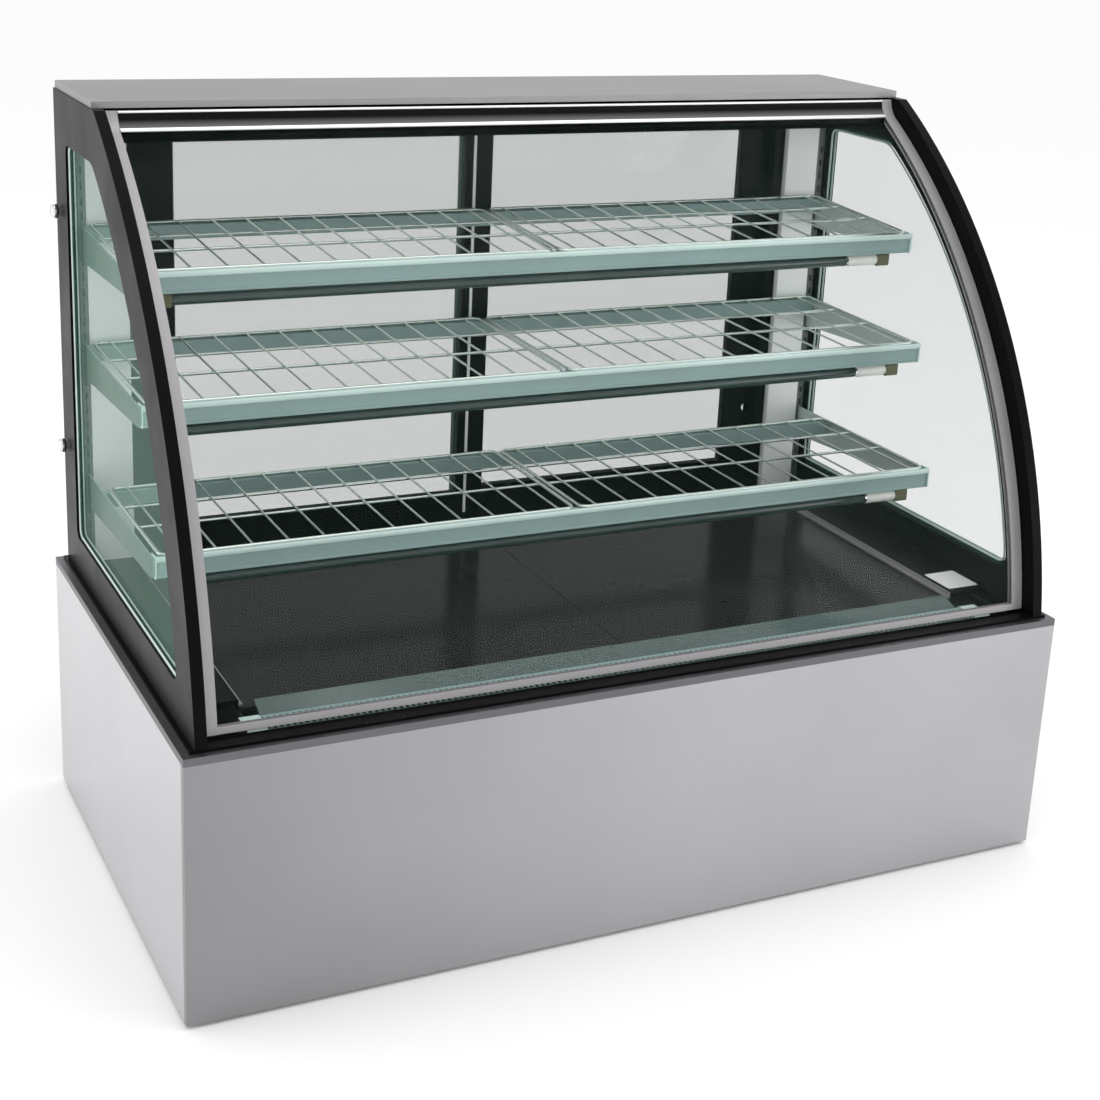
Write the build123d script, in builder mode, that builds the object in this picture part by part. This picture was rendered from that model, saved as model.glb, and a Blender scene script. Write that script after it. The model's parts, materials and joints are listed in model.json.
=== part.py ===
"""Curved-glass counter display showcase: stainless base, three lit wire shelves, sliding rear doors.

Frame: +Z up, +X to the right seen from the front, the customer's side faces -Y.
Origin: the middle of the footprint, on the floor.  Millimetres.
"""
from build123d import *
import os
from math import asin, cos, radians, sin, sqrt

os.makedirs("parts", exist_ok=True)

# ---- overall sizes -------------------------------------------------------------------------
width = 1500.0             # over the base side panels
depth = 825.0              # over the base front and back edges
height = 1240.0            # floor to the top of the cap
base_height = 425.0        # floor to the top of the base rim

# ---- sheet metal and general clearances ----------------------------------------------------
sheet = 1.5                # stainless skin
thin_sheet = 1.2           # inner sheet parts
floor_gap = 6.0            # under the skirt panels
slip = 0.3                 # gap between neighbouring fixed pieces
running = 0.06             # radial clearance of a shaft in its bore

# ---- base ----------------------------------------------------------------------------------
corner_return = 12.0       # the front panel wraps this far round each corner
rear_return = 20.0         # the side panels wrap this far round the back
rim_t = 12.0               # folded edge of the rim round the top
rim_front = 40.0           # how far the rim reaches in from each side
rim_side = 60.0
rim_back = 78.0
back_recess = 25.0         # the service panel sits this far inside the rear edge
pan_z = 42.0               # floor pan above the floor
pan_wall = 28.0
post_leg = 40.0            # corner angle
post_t = 3.0
foot_r = 25.0
foot_h = 8.0
foot_stem_r = 5.0
foot_inset = 70.0
louvre_l, louvre_w, louvre_pitch, louvre_rows = 150.0, 7.0, 18.0, 10
louvre_x = 420.0           # centre of each bank of louvres
screw_r = 2.5
screw_head_r = 5.0
screw_head_h = 2.2

# ---- glass case ----------------------------------------------------------------------------
sill_t = 4.0               # black plate between the base and the case
sill_inset = 12.0          # from the base edge to the sill edge
sill_band = 30.0           # how wide the sill plate is at the front
frame_inset = 20.0         # from the base side to the outer face of an end frame
frame_t = 18.0             # end frame thickness
frame_front = 12.0         # from the base front to the foot of the end frame's curve
frame_rear = 8.0           # from the base back to the end frame's rear edge
frame_band = 80.0          # width of the black band round the side window
window_foot = 62.0         # height of the end frame below the side window
curve_bulge = 109.0        # how far the front curve stands out from its chord
cap_run = 257.0            # depth of the cap, front to back
cap_t = 12.0
cap_setback = 28.0         # the cap's front edge is this far behind the curve's top end
window_r_top, window_r = 60.0, 15.0
side_glass_t = 5.4
side_glass_in = 6.0        # from the end frame's inner face to the side glass
rebate = 8.0               # side glass bite in its rebate

# ---- front glass ---------------------------------------------------------------------------
glass_inset = 31.0         # outer face of the glass, inside the end frames' curve
glass_t = 6.0
trim_w = 21.0              # silver trim seen from the front
trim_proud = 2.5           # trim in front of, and behind, the glass
trim_side_gap = 1.5        # trim to end frame
trim_floor = 3.5           # closed trim above the sill
trim_foot_h = 11.0
glass_bite = 3.8           # glass in its bottom trim
glass_top_bite = 12.0      # and in the top pull profile
trim_top_low = 16.0        # foot of the top pull profile, along the curve before its end
trim_top_run = 32.0        # length of its inner face along the curve
trim_nose = 9.0            # its upper front edge in front of the cap
trim_cap_gap = 3.0         # and clear of the cap
trim_lip = 11.0            # height of its upper rear face
trim_hollow = 3.0          # depth of the hollow in its front face
header_room = 7.0          # between the trims' inner face and the header's front
glass_gap = 0.2            # glass in its trim slots
glass_side_inset = 4.5     # glass edge to the outer face of a side trim
hinge_pin_r = 2.6
hinge_rise = 3.9           # hinge axis above the trim's foot, along the curve
hinge_bite = 9.0           # pin in the end frame
pin_inset = 6.0            # pin end inside the side trim's inner face
header_h = 50.0
header_foot = 70.0         # depth of the header at its foot
header_head = 140.0        # and at its top
header_lip = 26.0
header_gap = 1.5           # closed front trim to header

# ---- rear wall and sliding doors -----------------------------------------------------------
upright_bay = 15.0         # between a jamb and the end frame, where the slotted upright stands
jamb_w = 67.0
jamb_depth = 60.0
upright_depth = 14.0
slot_w, slot_h, slot_pitch, slot_deep = 4.0, 12.0, 25.0, 7.0
track_inset = 6.0          # track behind the jambs' rear face
door_t = 14.0
door_gap = 8.0             # between the two doors
door_side_clear = 1.0      # each side of a door in its groove
rib_t = 6.0                # rib between the two grooves
track_plate = 4.0
track_bottom_h = 16.0
track_top_h = 34.0
door_top_gap = 10.0
door_foot_gap = 1.0
channel_w = 20.0           # black side channel seen from the front
channel_web = 2.5
door_end_gap = 0.7         # closed door to the channel's web
door_stile = 75.0          # outer stile
door_meeting = 50.0        # meeting stile
door_rail_bottom = 34.0
door_rail_top = 30.0
door_glass_t = 5.0
pull_w, pull_h, pull_deep, pull_flange, pull_wall = 22.0, 110.0, 9.0, 3.0, 1.2
pull_rise = 405.0          # middle of the pulls above the rim
pull_offset = 14.0         # the right pull sits nearer the middle, clear of the lock
lock_r = 8.0
lock_inset, lock_rise = 26.5, 167.0   # lock to the door's outer edge, and above the rim
cam_l, cam_w, cam_t = 20.0, 8.0, 2.5
cam_clear = 2.0            # round the cam's sweep

# ---- deck ----------------------------------------------------------------------------------
deck_end = 80.0            # deck to end frame
deck_t = 8.0
deck_rise = 2.0            # deck top above the base rim
grille_front = 42.0        # from the base front
grille_run = 52.0
grille_t = 2.0
grille_pitch, grille_slot = 9.5, 5.2
lip_run = 34.0             # tinted glass lip between grille and deck
lip_t = 5.0
lip_rise = 12.0
lip_side = 20.0            # the lip stops short of each end of the grille
deck_gap = 9.0             # rear edge of the deck to the jambs
cover_rise = 10.0          # end covers above the deck
trim_line = 6.0            # aluminium strip along each end of the deck
trim_line_h = 3.0
plenum_drop = 150.0        # air plenum below the deck

# ---- shelves: name, gap to the front trim, gap to the jambs, height above the rim, tilt ----
shelves = (
    ("top", 126.0, 5.0, 574.0, 3.0),
    ("middle", 205.0, 7.0, 386.0, 1.2),
    ("lower", 234.0, 96.0, 170.0, 0.0),
)
rail_h = 32.0              # front rail
rail_top = 16.0
rail_foot = 9.0
rear_rail_h = 24.0
bracket_t = 2.5
bracket_rear_h, bracket_front_h = 58.0, 34.0
hook_bite = 5.0
frame_wire_r = 3.0
bearer_wire_r = 2.5
cross_wire_r = 1.75
cross_pitch = 53.0
bearer_at = (0.42, 0.72)   # shares of the rack's depth
rack_gap = 6.0             # between the two racks of a shelf
rack_corner_r = 14.0
rack_end_gap = 9.0         # rack to bracket
lamp_r = 10.0
lamp_holder = 60.0         # white lamp cap at each end
lamp_end = 24.0            # dark socket beyond it
lamp_inset = 40.0          # socket to shelf end
lamp_drop = 2.0            # below the front rail

# ---- heating, fan and controls -------------------------------------------------------------
fan_size, fan_h = 150.0, 38.0
fan_bore_r, fan_r = 71.0, 68.0
fan_hub_r, fan_shaft_r = 22.0, 3.0
fan_blades = 7
fan_back = 310.0           # fan centre to the rear wall of the plenum
heater_r = 4.0
heater_half, heater_run, heater_rows = 300.0, 60.0, 4
panel_x, panel_z = 150.0, 185.0     # controls on the service panel
control_pitch = 70.0
inlet_at = (-150.0, 95.0)           # cable gland on the service panel, x and z
inlet_r = 10.0
knob_r, knob_h, knob_shaft_r = 20.0, 17.0, 3.0
rocker_w, rocker_h, rocker_t, rocker_tilt = 14.0, 24.0, 8.0, 10.0
rocker_gap = 0.6
bolt_heights = (211.0, 608.0)       # side knobs above the rim
bolt_rear = 26.0                    # from the end frame's rear edge
bolt_r, bolt_stem_r, bolt_len, bolt_stem_len = 12.0, 6.5, 15.0, 3.0

# ---- worked-out places ---------------------------------------------------------------------
half_w = width / 2
y_front = -depth / 2
y_back = depth / 2
rim_z = base_height
sill_top = base_height + sill_t
cap_z = height - cap_t
frame_x = half_w - frame_inset
inner_x = frame_x - frame_t
frame_back_y = y_back - frame_rear
cap_back_y = frame_back_y
cap_front_y = cap_back_y - cap_run
jamb_back = frame_back_y - track_inset
jamb_front = jamb_back - jamb_depth
jamb_out = inner_x - upright_bay
jamb_in = jamb_out - jamb_w
bracket_x = (jamb_out + inner_x) / 2
deck_half = inner_x - deck_end
deck_top = base_height + deck_rise
service_y = y_back - back_recess
trim_x = inner_x - trim_side_gap


def circle_through(start, end, bulge):
    """Centre and radius of the arc from start to end that bulges forward and up by bulge."""
    chord_y, chord_z = end[0] - start[0], end[1] - start[1]
    chord = sqrt(chord_y**2 + chord_z**2)
    radius = (chord**2 / 4 + bulge**2) / (2 * bulge)
    reach = radius - bulge
    centre_y = (start[0] + end[0]) / 2 + reach * chord_z / chord
    centre_z = (start[1] + end[1]) / 2 - reach * chord_y / chord
    return centre_y, centre_z, radius


curve_cy, curve_cz, curve_r = circle_through(
    (y_front + frame_front, sill_top), (cap_front_y - cap_setback, cap_z), curve_bulge)
foot_angle = asin((sill_top - curve_cz) / curve_r)
top_angle = asin((cap_z - curve_cz) / curve_r)


def curve_point(run, inset):
    """(y, z) at a run along the curve above the sill, and a depth inside the curve."""
    angle = foot_angle + run / curve_r
    return curve_cy - (curve_r - inset) * cos(angle), curve_cz + (curve_r - inset) * sin(angle)


def curve_y(z, inset):
    """y of the curve at a height, at a depth inside it."""
    return curve_cy - sqrt((curve_r - inset)**2 - (z - curve_cz)**2)


curve_run = (top_angle - foot_angle) * curve_r
trim_in = glass_inset - trim_proud
trim_out = glass_inset + glass_t + trim_proud
trim_foot = trim_floor + trim_out * sin(foot_angle)
hinge_y, hinge_z = curve_point(trim_foot + hinge_rise, glass_inset + glass_t / 2)


def save(piece, node):
    piece.label = node
    export_step(piece, f"parts/{node}.step")


def box_between(low, high):
    """An axis-aligned block from one corner to the other, in the current builder."""
    size = [b - a for a, b in zip(low, high)]
    middle = tuple((a + b) / 2 for a, b in zip(low, high))
    with Locations(middle):
        return Box(*size)


def cut_between(low, high):
    """The same block, taken away."""
    size = [b - a for a, b in zip(low, high)]
    middle = tuple((a + b) / 2 for a, b in zip(low, high))
    with Locations(middle):
        return Box(*size, mode=Mode.SUBTRACT)


def curved_slab(x_low, x_high, run_low, run_high, inset_low, inset_high, mode=Mode.ADD):
    """A slab that follows the front curve between two insets, from x_low to x_high."""
    run_mid = (run_low + run_high) / 2
    outer = [curve_point(run, inset_low) for run in (run_low, run_mid, run_high)]
    inner = [curve_point(run, inset_high) for run in (run_high, run_mid, run_low)]
    with BuildSketch(Plane.YZ.offset(x_low)) as section:
        with BuildLine():
            ThreePointArc(*outer)
            Line(outer[2], inner[0])
            ThreePointArc(*inner)
            Line(inner[2], outer[0])
        make_face()
    return extrude(section.sketch, amount=x_high - x_low, mode=mode)


def ring_bars(out_x, out_front, out_back, in_x, in_front, in_back, z_low, z_high):
    """Four separate bars round a rectangle: front and back full width, the sides between them."""
    box_between((-out_x, out_front, z_low), (out_x, in_front, z_high))
    box_between((-out_x, in_back, z_low), (out_x, out_back, z_high))
    for side in (-1, 1):
        low, high = sorted((side * in_x, side * out_x))
        box_between((low, in_front + slip, z_low), (high, in_back - slip, z_high))


# ==== base ==================================================================================
panel_top = rim_z - rim_t

with BuildPart() as base_front_panel:
    with BuildSketch(Plane.XY.offset(floor_gap)):
        with Locations((0, y_front + corner_return / 2)):
            Rectangle(width, corner_return)
        with Locations((0, y_front + sheet + corner_return / 2)):
            Rectangle(width - 2 * sheet, corner_return, mode=Mode.SUBTRACT)
    extrude(amount=panel_top - floor_gap)
    foot_fold = corner_return - sheet
    box_between((-half_w + sheet, y_front + sheet, floor_gap),
                (half_w - sheet, y_front + sheet + foot_fold, floor_gap + sheet))
save(base_front_panel.part, "base_front_panel")

for side, side_name in ((-1, "left"), (1, "right")):
    outer, inner = side * half_w, side * (half_w - sheet)
    x_low, x_high = sorted((outer, inner))
    fold_low, fold_high = sorted((inner, side * (half_w - rear_return)))
    with BuildPart() as base_side:
        box_between((x_low, y_front + corner_return + slip, floor_gap), (x_high, y_back, panel_top))
        box_between((fold_low, y_back - sheet, floor_gap), (fold_high, y_back, panel_top))
    save(base_side.part, f"base_side_{side_name}")

service_half = half_w - sheet - slip
control_xs = [panel_x + i * control_pitch for i in range(3)]
screw_spots = [(x, z) for x in (-service_half + 60, -service_half / 3, service_half / 3, service_half - 60)
               for z in (pan_z + 45, panel_top - 25)]

with BuildPart() as base_back_panel:
    box_between((-service_half, service_y - sheet, floor_gap), (service_half, service_y, panel_top))
    for bank in (-1, 1):
        with BuildSketch(Plane.XZ.offset(-service_y)):
            with Locations((bank * louvre_x, panel_z)):
                with GridLocations(louvre_l, louvre_pitch, 1, louvre_rows):
                    SlotOverall(louvre_l, louvre_w)
        extrude(amount=sheet, mode=Mode.SUBTRACT)
    with BuildSketch(Plane.XZ.offset(-service_y)):
        with Locations(*screw_spots):
            Circle(screw_r)
        with Locations((control_xs[0], panel_z)):
            Circle(knob_shaft_r + running)
        with Locations(*[(x, panel_z) for x in control_xs[1:]]):
            Rectangle(rocker_w + 2 * rocker_gap, rocker_h + 2 * rocker_gap)
        with Locations(inlet_at):
            Circle(inlet_r)
    extrude(amount=sheet, mode=Mode.SUBTRACT)
save(base_back_panel.part, "base_back_panel")

with BuildPart() as panel_screws:
    with BuildSketch(Plane.XZ.offset(-service_y)):
        with Locations(*screw_spots):
            Circle(screw_r)
    extrude(amount=8)
    with BuildSketch(Plane.XZ.offset(-service_y)):
        with Locations(*screw_spots):
            Circle(screw_head_r)
    extrude(amount=-screw_head_h)
    rounded = panel_screws.edges().filter_by(GeomType.CIRCLE).group_by(Axis.Y)[-1]
    chamfer(rounded, 0.8)
save(panel_screws.part, "panel_screws")

foot_spots = [(sx * (half_w - foot_inset), sy * (depth / 2 - foot_inset)) for sx in (-1, 1) for sy in (-1, 1)]

with BuildPart() as base_floor_pan:
    pan_x, pan_front, pan_back = half_w - 2 * sheet, y_front + corner_return + slip, service_y - sheet - slip
    box_between((-pan_x, pan_front, pan_z), (pan_x, pan_back, pan_z + pan_wall))
    cut_between((-pan_x + sheet, pan_front + sheet, pan_z + sheet),
                (pan_x - sheet, pan_back - sheet, pan_z + pan_wall))
    with BuildSketch(Plane.XY.offset(pan_z)):
        with Locations(*foot_spots):
            Circle(foot_stem_r)
    extrude(amount=sheet, mode=Mode.SUBTRACT)
save(base_floor_pan.part, "base_floor_pan")

with BuildPart() as leveling_feet:
    with BuildSketch(Plane.XY):
        with Locations(*foot_spots):
            Circle(foot_r)
    extrude(amount=foot_h)
    chamfer(leveling_feet.edges().filter_by(GeomType.CIRCLE).group_by(Axis.Z)[-1], 3)
    with BuildSketch(Plane.XY.offset(foot_h)):
        with Locations(*foot_spots):
            Circle(foot_stem_r)
    extrude(amount=pan_z + sheet + 14 - foot_h)
    with BuildSketch(Plane.XY.offset(pan_z - 9)):
        with Locations(*foot_spots):
            RegularPolygon(9, 6)
    extrude(amount=9)
save(leveling_feet.part, "leveling_feet")

with BuildPart() as corner_posts:
    for sx in (-1, 1):
        for sy, face_y in ((-1, pan_front + sheet + slip), (1, pan_back - sheet - slip)):
            outer_x = sx * (pan_x - sheet - slip)
            bottom = pan_z + sheet
            x_pair = sorted((outer_x, outer_x - sx * post_leg))
            y_pair = sorted((face_y, face_y - sy * post_t))
            box_between((x_pair[0], y_pair[0], bottom), (x_pair[1], y_pair[1], panel_top))
            x_pair = sorted((outer_x, outer_x - sx * post_t))
            y_pair = sorted((face_y, face_y - sy * post_leg))
            box_between((x_pair[0], y_pair[0], bottom), (x_pair[1], y_pair[1], panel_top))
save(corner_posts.part, "corner_posts")

with BuildPart() as base_top_rim:
    ring_bars(half_w, y_front, y_back, half_w - rim_side, y_front + rim_front, y_back - rim_back,
              panel_top, rim_z)
save(base_top_rim.part, "base_top_rim")

with BuildPart() as case_sill:
    ring_bars(half_w - sill_inset, y_front + sill_inset, frame_back_y,
              half_w - rim_side, y_front + sill_inset + sill_band, y_back - rim_back + sheet,
              rim_z, sill_top)
save(case_sill.part, "case_sill")

# ==== air plenum, heater and fan ============================================================
tray_top = deck_top - deck_t
tray_bottom = tray_top - plenum_drop
tray_front = y_front + grille_front
tray_back = jamb_front - deck_gap
fan_y = tray_back - fan_back
fan_z = tray_bottom + thin_sheet
heater_z = tray_bottom + 70

with BuildPart() as plenum_tray:
    box_between((-deck_half, tray_front, tray_bottom), (deck_half, tray_back, tray_top))
    cut_between((-deck_half + thin_sheet, tray_front + thin_sheet, tray_bottom + thin_sheet),
                (deck_half - thin_sheet, tray_back - thin_sheet, tray_top))
    box_between((-thin_sheet / 2, tray_back - 120, heater_z + 20), (thin_sheet / 2, tray_back - thin_sheet, tray_top))
    with Locations((0, fan_y, tray_bottom)):
        Cylinder(fan_bore_r, 6 * thin_sheet, mode=Mode.SUBTRACT)
save(plenum_tray.part, "plenum_tray")

with BuildPart() as fan_housing:
    with BuildSketch(Plane.XY.offset(fan_z)):
        with Locations((0, fan_y)):
            RectangleRounded(fan_size, fan_size, 8)
            Circle(fan_bore_r, mode=Mode.SUBTRACT)
    extrude(amount=fan_h)
    with BuildSketch(Plane.XY.offset(fan_z)):
        with Locations((0, fan_y)):
            Circle(fan_hub_r)
            Rectangle(2 * fan_bore_r + 2, 6)
            Rectangle(6, 2 * fan_bore_r + 2)
            Circle(fan_shaft_r + running, mode=Mode.SUBTRACT)
    extrude(amount=8)
save(fan_housing.part, "fan_housing")

with BuildPart() as fan_rotor:
    with BuildSketch(Plane.XY.offset(fan_z + 9)):
        with Locations((0, fan_y)):
            Circle(fan_hub_r)
    extrude(amount=fan_h - 12)
    with BuildSketch(Plane.XY.offset(fan_z + 1)):
        with Locations((0, fan_y)):
            Circle(fan_shaft_r)
    extrude(amount=9)
    blade_mid = (fan_hub_r + fan_r) / 2 - 1
    with Locations((0, fan_y, fan_z + 22)):
        with PolarLocations(blade_mid, fan_blades):
            Box(fan_r - fan_hub_r + 2, 2, 20, rotation=(40, 0, 0))
save(fan_rotor.part, "fan_rotor")

with BuildPart() as heater_element:
    heater_y = fan_y + 120
    rows_y = [heater_y + i * heater_run for i in range(heater_rows)]
    with BuildLine(Plane.XY.offset(heater_z)) as heater_path:
        corners = []
        for i, row_y in enumerate(rows_y):
            ends = (-heater_half, heater_half) if i % 2 == 0 else (heater_half, -heater_half)
            corners += [(ends[0], row_y), (ends[1], row_y)]
        FilletPolyline(*corners, radius=heater_run / 2 - 2)
    with BuildSketch(Plane(origin=heater_path.wire() @ 0, z_dir=heater_path.wire() % 0)):
        Circle(heater_r)
    sweep(path=heater_path.wire())
save(heater_element.part, "heater_element")

with BuildPart() as control_box:
    box_low = (control_xs[0] - 45, service_y - sheet - 70, panel_z - 60)
    box_high = (control_xs[-1] + 45, service_y - sheet - 28, panel_z + 60)
    box_between(box_low, box_high)
    fillet(control_box.edges().filter_by(Axis.Y), 6)
    rear_face_y = box_high[1]
    with BuildSketch(Plane.XZ.offset(-rear_face_y)):
        with Locations((control_xs[0], panel_z)):
            Circle(14)
    extrude(amount=-14)
    with BuildSketch(Plane.XZ.offset(-rear_face_y - 14)):
        with Locations((control_xs[0], panel_z)):
            Circle(knob_shaft_r + running)
    extrude(amount=14, mode=Mode.SUBTRACT)
save(control_box.part, "control_box")

with BuildPart() as thermostat_knob:
    with BuildSketch(Plane.XZ.offset(-service_y - 1)):
        with Locations((control_xs[0], panel_z)):
            Circle(knob_r)
            with PolarLocations(knob_r + 1.2, 12):
                Circle(2.4, mode=Mode.SUBTRACT)
    extrude(amount=-knob_h)
    with BuildSketch(Plane.XZ.offset(-service_y - 1)):
        with Locations((control_xs[0], panel_z)):
            Circle(knob_shaft_r)
    extrude(amount=26)
    box_between((control_xs[0] - 2, service_y + 1 + knob_h - 0.01, panel_z - knob_r + 4),
                (control_xs[0] + 2, service_y + 2 + knob_h, panel_z))
save(thermostat_knob.part, "thermostat_knob")

for rocker_x, node in ((control_xs[1], "heat_switch"), (control_xs[2], "light_switch")):
    tilted = Plane(origin=(rocker_x, service_y, panel_z), x_dir=(1, 0, 0),
                   z_dir=(0, cos(radians(rocker_tilt)), sin(radians(rocker_tilt))))
    with BuildPart(tilted) as rocker:
        with Locations((0, 0, -1)):
            Box(rocker_w, rocker_h - 3, rocker_t)
        fillet(rocker.edges().filter_by(Axis.X), 2)
    save(rocker.part, node)

with BuildPart() as power_inlet:
    with BuildSketch(Plane.XZ.offset(-service_y)):
        with Locations(inlet_at):
            RegularPolygon(16, 6)
    extrude(amount=-6)
    with BuildSketch(Plane.XZ.offset(-service_y - 6)):
        with Locations(inlet_at):
            Circle(12)
    extrude(amount=-14, taper=12)
    with BuildSketch(Plane.XZ.offset(-service_y)):
        with Locations(inlet_at):
            Circle(inlet_r)
    extrude(amount=12)
    with BuildSketch(Plane.XZ.offset(-service_y - 20)):
        with Locations(inlet_at):
            Circle(4.5)
    extrude(amount=32, mode=Mode.SUBTRACT)
save(power_inlet.part, "power_inlet")

# ==== end frames, side glass, cap and header ================================================
window_low, window_high = sill_top + window_foot, cap_z - frame_band
window_back = frame_back_y - frame_band


def window_sketch(x, grow):
    """Side window outline on a plane at x, grown outward by grow."""
    low, high, back = window_low - grow, window_high + grow, window_back + grow
    inset = frame_band - grow
    middle = (low + high) / 2
    arc = [(curve_y(z, inset), z) for z in (low, middle, high)]
    with BuildSketch(Plane.YZ.offset(x)) as outline:
        with BuildLine():
            ThreePointArc(*arc)
            Polyline(arc[2], (back, high), (back, low), arc[0])
        make_face()
        top_front = outline.vertices().sort_by_distance((arc[2][0], high, 0))[0]
        fillet(top_front, window_r_top + grow)
        square_corners = [v for v in outline.vertices() if v.Y < middle or v.X > back - 1]
        fillet(square_corners, window_r + grow)
    return outline.sketch


for side, side_name in ((-1, "left"), (1, "right")):
    plate_x = -frame_x if side < 0 else inner_x
    face_in = side * inner_x
    with BuildPart() as side_frame:
        middle_z = (sill_top + cap_z) / 2
        arc = [(curve_y(z, 0), z) for z in (sill_top, middle_z, cap_z)]
        with BuildSketch(Plane.YZ.offset(plate_x)):
            with BuildLine():
                ThreePointArc(*arc)
                Polyline(arc[2], (frame_back_y, cap_z), (frame_back_y, sill_top), arc[0])
            make_face()
        extrude(amount=frame_t)
        extrude(window_sketch(plate_x, 0), amount=frame_t, mode=Mode.SUBTRACT)
        pocket_t = side_glass_in + side_glass_t + slip
        pocket_x = face_in if side > 0 else face_in - pocket_t
        extrude(window_sketch(pocket_x, rebate), amount=pocket_t, mode=Mode.SUBTRACT)
        pin_x = face_in if side > 0 else face_in - hinge_bite - 1
        with BuildSketch(Plane.YZ.offset(pin_x)):
            with Locations((hinge_y, hinge_z)):
                Circle(hinge_pin_r + running)
        extrude(amount=hinge_bite + 1, mode=Mode.SUBTRACT)
    save(side_frame.part, f"side_frame_{side_name}")

    glass_x = face_in + side_glass_in if side > 0 else face_in - side_glass_in - side_glass_t
    with BuildPart() as side_glass:
        extrude(window_sketch(glass_x, rebate - slip), amount=side_glass_t)
    save(side_glass.part, f"side_glass_{side_name}")

with BuildPart() as side_bolts:
    for side in (-1, 1):
        for bolt_z in bolt_heights:
            seat = Plane(origin=(side * frame_x, frame_back_y - bolt_rear, rim_z + bolt_z), z_dir=(side, 0, 0))
            with BuildSketch(seat):
                Circle(bolt_stem_r)
            extrude(amount=bolt_stem_len)
            with BuildSketch(seat.offset(bolt_stem_len)):
                Circle(bolt_r)
            extrude(amount=bolt_len - bolt_stem_len)
    rims = side_bolts.edges().filter_by(GeomType.CIRCLE).filter_by(lambda e: abs(e.radius - bolt_r) < 0.1)
    fillet(rims, bolt_r - bolt_stem_r - 0.5)
save(side_bolts.part, "side_bolts")

cap_half = frame_x - 3
with BuildPart() as top_cap:
    box_between((-cap_half, cap_front_y, cap_z), (cap_half, cap_back_y, height))
    fillet(top_cap.edges().filter_by(Axis.X).group_by(Axis.Z)[-1], 2.5)
    cut_between((-inner_x + sheet, cap_front_y + sheet, cap_z),
                (inner_x - sheet, cap_back_y - sheet, height - sheet - 1))
save(top_cap.part, "top_cap")

header_inset = trim_out + header_room + header_gap
header_x = inner_x - slip
with BuildPart() as header_beam:
    low_z, high_z = cap_z - header_h, cap_z
    front = [(curve_y(z, header_inset), z) for z in (low_z, (low_z + high_z) / 2, high_z)]
    rear_y = front[0][0] + header_head
    with BuildSketch(Plane.YZ.offset(-header_x)):
        with BuildLine():
            ThreePointArc(*front)
            Polyline(front[2], (rear_y, high_z), (rear_y, high_z - header_lip),
                     (front[0][0] + header_foot, low_z), front[0])
        make_face()
    extrude(amount=2 * header_x)
save(header_beam.part, "header_beam")

# ==== front glass and its trims =============================================================
glass_foot = trim_foot + trim_foot_h - glass_bite
top_low = curve_run - trim_top_low
trim_head = top_low + trim_top_run
glass_head = top_low + glass_top_bite
glass_half = trim_x - glass_side_inset

with BuildPart() as front_glass:
    curved_slab(-glass_half, glass_half, glass_foot, glass_head, glass_inset, glass_inset + glass_t)
save(front_glass.part, "front_glass")


def glass_slot():
    curved_slab(-glass_half - glass_gap, glass_half + glass_gap, glass_foot - glass_gap, glass_head + glass_gap,
                glass_inset - glass_gap, glass_inset + glass_t + glass_gap, mode=Mode.SUBTRACT)


def pull_profile(x_low, x_high):
    """The top pull: its foot on the glass, its nose in front of the cap, a shallow hollow between."""
    foot, nose = curve_point(top_low, trim_in), (cap_front_y - trim_nose, cap_z - trim_cap_gap)
    hollow = ((foot[0] + nose[0]) / 2 + trim_hollow, (foot[1] + nose[1]) / 2 - trim_hollow / 2)
    rear_y = cap_front_y - trim_cap_gap
    with BuildSketch(Plane.YZ.offset(x_low)) as section:
        with BuildLine():
            ThreePointArc(foot, hollow, nose)
            Polyline(nose, (rear_y, nose[1]), (rear_y, nose[1] - trim_lip), curve_point(trim_head, trim_out),
                     curve_point(top_low, trim_out), foot)
        make_face()
    extrude(section.sketch, amount=x_high - x_low)


trim_inner_x = trim_x - trim_w
pin_root = trim_inner_x + pin_inset

for side, side_name in ((-1, "left"), (1, "right")):
    x_low, x_high = sorted((side * trim_inner_x, side * trim_x))
    with BuildPart() as front_trim_side:
        curved_slab(x_low, x_high, trim_foot, trim_head, trim_in, trim_out)
        pull_profile(x_low, x_high)
        glass_slot()
        pin_low, pin_high = sorted((side * pin_root, side * trim_x))
        with BuildSketch(Plane.YZ.offset(pin_low)):
            with Locations((hinge_y, hinge_z)):
                Circle(hinge_pin_r)
        extrude(amount=pin_high - pin_low, mode=Mode.SUBTRACT)
    save(front_trim_side.part, f"front_trim_{side_name}")

with BuildPart() as front_trim_bottom:
    curved_slab(-trim_inner_x, trim_inner_x, trim_foot, trim_foot + trim_foot_h, trim_in, trim_out)
    glass_slot()
save(front_trim_bottom.part, "front_trim_bottom")

with BuildPart() as front_trim_top:
    pull_profile(-trim_inner_x, trim_inner_x)
    glass_slot()
save(front_trim_top.part, "front_trim_top")

with BuildPart() as front_hinge_pins:
    for side in (-1, 1):
        low, high = sorted((side * pin_root, side * (inner_x + hinge_bite)))
        with BuildSketch(Plane.YZ.offset(low)):
            with Locations((hinge_y, hinge_z)):
                Circle(hinge_pin_r)
        extrude(amount=high - low)
save(front_hinge_pins.part, "front_hinge_pins")

# ==== rear wall =============================================================================
lock_z = rim_z + lock_rise
with BuildPart() as rear_jambs:
    for side in (-1, 1):
        low, high = sorted((side * jamb_in, side * jamb_out))
        box_between((low, jamb_front, sill_top), (high, jamb_back, cap_z))
        cut_between((low + sheet, jamb_front + sheet, sill_top), (high - sheet, jamb_back - sheet, cap_z))
save(rear_jambs.part, "rear_jambs")

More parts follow.
